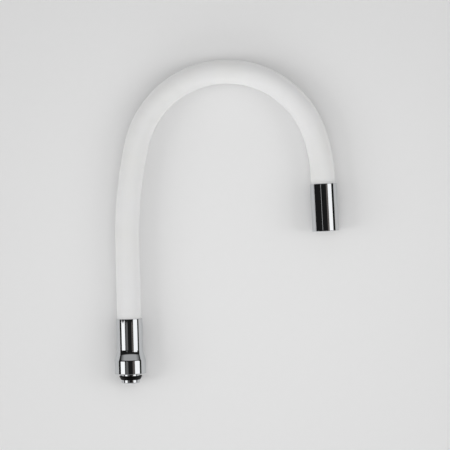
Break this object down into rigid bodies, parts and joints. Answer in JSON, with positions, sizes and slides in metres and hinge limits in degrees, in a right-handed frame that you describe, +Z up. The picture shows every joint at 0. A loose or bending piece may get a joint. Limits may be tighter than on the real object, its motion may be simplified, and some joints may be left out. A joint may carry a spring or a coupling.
{
  "type": "flexible faucet spout",
  "caption": "Self-supporting flexible tap spout: white silicone neck over a steel gooseneck, chrome union nut and sealed spigot at the inlet, chrome sleeve with aerator at the outlet.",
  "frame": {"origin": "on the inlet's axis at the union nut's lower rim", "axes": "+Z up the inlet's axis into the neck, +X towards the outlet, +Y across the spout"},
  "size_m": [0.2278, 0.0314, 0.3206],
  "materials": {
    "chrome": "polished chrome plate on brass",
    "white_silicone": "smooth matt silicone rubber",
    "black_rubber": "moulded rubber",
    "spring_steel": "drawn stainless wire and strip",
    "turned_brass": "turned brass",
    "aerator_brass": "chrome plate on turned brass",
    "acetal": "moulded acetal",
    "water_tube": "extruded polyethylene tube"
  },
  "bodies": {
    "union_nut": {"union_nut": "chrome"},
    "slip_washer": {"slip_washer": "acetal"},
    "spout": {"inlet_spigot": "chrome", "snap_ring": "acetal", "seal_ring": "black_rubber", "base_ferrule": "spring_steel", "water_tube": "water_tube", "silicone_sleeve": "white_silicone", "coil_00": "spring_steel"},
    "neck_01": {"coil_01": "spring_steel"},
    "neck_02": {"coil_02": "spring_steel"},
    "neck_03": {"coil_03": "spring_steel"},
    "neck_04": {"coil_04": "spring_steel"},
    "neck_05": {"coil_05": "spring_steel"},
    "neck_06": {"coil_06": "spring_steel"},
    "neck_07": {"coil_07": "spring_steel"},
    "neck_08": {"coil_08": "spring_steel"},
    "neck_09": {"coil_09": "spring_steel"},
    "neck_10": {"coil_10": "spring_steel"},
    "neck_11": {"coil_11": "spring_steel"},
    "neck_12": {"coil_12": "spring_steel"},
    "neck_13": {"coil_13": "spring_steel"},
    "neck_14": {"coil_14": "spring_steel"},
    "neck_15": {"coil_15": "spring_steel"},
    "neck_16": {"coil_16": "spring_steel"},
    "neck_17": {"coil_17": "spring_steel"},
    "neck_18": {"coil_18": "spring_steel"},
    "neck_19": {"coil_19": "spring_steel"},
    "neck_20": {"coil_20": "spring_steel"},
    "outlet": {"coil_21": "spring_steel", "outlet_sleeve": "chrome", "outlet_adapter": "turned_brass", "outlet_ferrule": "spring_steel", "adapter_seal": "black_rubber", "lock_nut": "turned_brass"},
    "aerator_washer": {"aerator_washer": "black_rubber"},
    "aerator": {"aerator_housing": "aerator_brass", "aerator_insert": "acetal", "flow_regulator": "acetal", "inlet_screen": "spring_steel"}
  },
  "joints": [
    {"name": "nut_slide", "type": "slide", "parent": "union_nut", "child": "slip_washer", "axis": [0, 0, -1], "range_m": [0, 0.011]},
    {"name": "spout_swivel", "type": "hinge", "parent": "slip_washer", "child": "spout", "pos_m": [0, 0, 0], "axis": [0, 0, -1], "continuous": true},
    {"name": "side_bend", "type": "hinge", "parent": "spout", "child": "neck_01", "pos_m": [0, 0, 0.075], "axis": [1, 0.001, 0], "range_deg": [-12, 12], "deforming": ["silicone_sleeve", "water_tube"]},
    {"name": "side_bend_02", "type": "hinge", "parent": "neck_01", "child": "neck_02", "pos_m": [0, 0, 0.102], "axis": [1, 0.001, 0], "range_deg": [-12, 12], "deforming": ["silicone_sleeve", "water_tube"]},
    {"name": "lean_bend", "type": "hinge", "parent": "neck_02", "child": "neck_03", "pos_m": [0, 0, 0.129], "axis": [0.001, 1, 0], "range_deg": [-10, 10], "deforming": ["silicone_sleeve", "water_tube"]},
    {"name": "lean_bend_04", "type": "hinge", "parent": "neck_03", "child": "neck_04", "pos_m": [0.00075, 0, 0.15409], "axis": [0.001, 1, 0], "range_deg": [-10, 10], "deforming": ["silicone_sleeve", "water_tube"]},
    {"name": "lean_bend_05", "type": "hinge", "parent": "neck_04", "child": "neck_05", "pos_m": [0.003, 0, 0.17909], "axis": [0.001, 1, 0], "range_deg": [-10, 10], "deforming": ["silicone_sleeve", "water_tube"]},
    {"name": "lean_bend_06", "type": "hinge", "parent": "neck_05", "child": "neck_06", "pos_m": [0.00674, 0, 0.20392], "axis": [0.001, 1, 0], "range_deg": [-10, 10], "deforming": ["silicone_sleeve", "water_tube"]},
    {"name": "crown_bend", "type": "hinge", "parent": "neck_06", "child": "neck_07", "pos_m": [0.01195, 0, 0.22847], "axis": [0.001, 1, 0], "range_deg": [-12.4, 3], "deforming": ["silicone_sleeve", "water_tube"]},
    {"name": "crown_bend_08", "type": "hinge", "parent": "neck_07", "child": "neck_08", "pos_m": [0.01873, 0, 0.24723], "axis": [0.001, 1, 0], "range_deg": [-12.4, 3], "deforming": ["silicone_sleeve", "water_tube"]},
    {"name": "crown_bend_09", "type": "hinge", "parent": "neck_08", "child": "neck_09", "pos_m": [0.02938, 0, 0.2641], "axis": [0.001, 1, 0], "range_deg": [-12.4, 3], "deforming": ["silicone_sleeve", "water_tube"]},
    {"name": "crown_bend_10", "type": "hinge", "parent": "neck_09", "child": "neck_10", "pos_m": [0.04339, 0, 0.2783], "axis": [0.001, 1, 0], "range_deg": [-12.4, 3], "deforming": ["silicone_sleeve", "water_tube"]},
    {"name": "crown_bend_11", "type": "hinge", "parent": "neck_10", "child": "neck_11", "pos_m": [0.06012, 0, 0.28917], "axis": [0.001, 1, 0], "range_deg": [-12.4, 3], "deforming": ["silicone_sleeve", "water_tube"]},
    {"name": "crown_bend_12", "type": "hinge", "parent": "neck_11", "child": "neck_12", "pos_m": [0.07878, 0, 0.2962], "axis": [0.001, 1, 0], "range_deg": [-12.4, 3], "deforming": ["silicone_sleeve", "water_tube"]},
    {"name": "crown_bend_13", "type": "hinge", "parent": "neck_12", "child": "neck_13", "pos_m": [0.09852, 0, 0.29908], "axis": [0.001, 1, 0], "range_deg": [-12.4, 3], "deforming": ["silicone_sleeve", "water_tube"]},
    {"name": "crown_bend_14", "type": "hinge", "parent": "neck_13", "child": "neck_14", "pos_m": [0.11842, 0, 0.29766], "axis": [0.001, 1, 0], "range_deg": [-12.4, 3], "deforming": ["silicone_sleeve", "water_tube"]},
    {"name": "crown_bend_15", "type": "hinge", "parent": "neck_14", "child": "neck_15", "pos_m": [0.13755, 0, 0.29201], "axis": [0.001, 1, 0], "range_deg": [-12.4, 3], "deforming": ["silicone_sleeve", "water_tube"]},
    {"name": "crown_bend_16", "type": "hinge", "parent": "neck_15", "child": "neck_16", "pos_m": [0.15503, 0, 0.28239], "axis": [0.001, 1, 0], "range_deg": [-12.4, 3], "deforming": ["silicone_sleeve", "water_tube"]},
    {"name": "crown_bend_17", "type": "hinge", "parent": "neck_16", "child": "neck_17", "pos_m": [0.17004, 0, 0.26926], "axis": [0.001, 1, 0], "range_deg": [-12.4, 3], "deforming": ["silicone_sleeve", "water_tube"]},
    {"name": "crown_bend_18", "type": "hinge", "parent": "neck_17", "child": "neck_18", "pos_m": [0.18189, 0, 0.25321], "axis": [0.001, 1, 0], "range_deg": [-12.4, 3], "deforming": ["silicone_sleeve", "water_tube"]},
    {"name": "tip_bend", "type": "hinge", "parent": "neck_18", "child": "neck_19", "pos_m": [0.19003, 0, 0.235], "axis": [0.001, 1, 0], "range_deg": [-12, 8], "deforming": ["silicone_sleeve", "water_tube"]},
    {"name": "tip_bend_20", "type": "hinge", "parent": "neck_19", "child": "neck_20", "pos_m": [0.19512, 0, 0.21431], "axis": [0.001, 1, 0], "range_deg": [-12, 8], "deforming": ["silicone_sleeve", "water_tube"]},
    {"name": "tip_bend_21", "type": "hinge", "parent": "neck_20", "child": "outlet", "pos_m": [0.19719, 0, 0.19311], "axis": [0.001, 1, 0], "range_deg": [-12, 8], "deforming": ["silicone_sleeve", "water_tube"]},
    {"name": "aerator_drop", "type": "slide", "parent": "outlet", "child": "aerator_washer", "axis": [0.0262, 0, -0.9997], "range_m": [0, 0.008]},
    {"name": "aerator_turn", "type": "hinge", "parent": "aerator_washer", "child": "aerator", "pos_m": [0.19866, 0, 0.13712], "axis": [0.0262, 0, -0.9997], "range_deg": [0, 2880]}
  ],
  "couplings": [
    {"joint": "side_bend_02", "follows": "side_bend", "ratio": 1},
    {"joint": "lean_bend_04", "follows": "lean_bend", "ratio": 1},
    {"joint": "lean_bend_05", "follows": "lean_bend", "ratio": 1},
    {"joint": "lean_bend_06", "follows": "lean_bend", "ratio": 1},
    {"joint": "crown_bend_08", "follows": "crown_bend", "ratio": 1},
    {"joint": "crown_bend_09", "follows": "crown_bend", "ratio": 1},
    {"joint": "crown_bend_10", "follows": "crown_bend", "ratio": 1},
    {"joint": "crown_bend_11", "follows": "crown_bend", "ratio": 1},
    {"joint": "crown_bend_12", "follows": "crown_bend", "ratio": 1},
    {"joint": "crown_bend_13", "follows": "crown_bend", "ratio": 1},
    {"joint": "crown_bend_14", "follows": "crown_bend", "ratio": 1},
    {"joint": "crown_bend_15", "follows": "crown_bend", "ratio": 1},
    {"joint": "crown_bend_16", "follows": "crown_bend", "ratio": 1},
    {"joint": "crown_bend_17", "follows": "crown_bend", "ratio": 1},
    {"joint": "crown_bend_18", "follows": "crown_bend", "ratio": 1},
    {"joint": "tip_bend_20", "follows": "tip_bend", "ratio": 1},
    {"joint": "tip_bend_21", "follows": "tip_bend", "ratio": 1},
    {"joint": "aerator_turn", "follows": "aerator_drop", "rad_per_m": 6283.2}
  ]
}
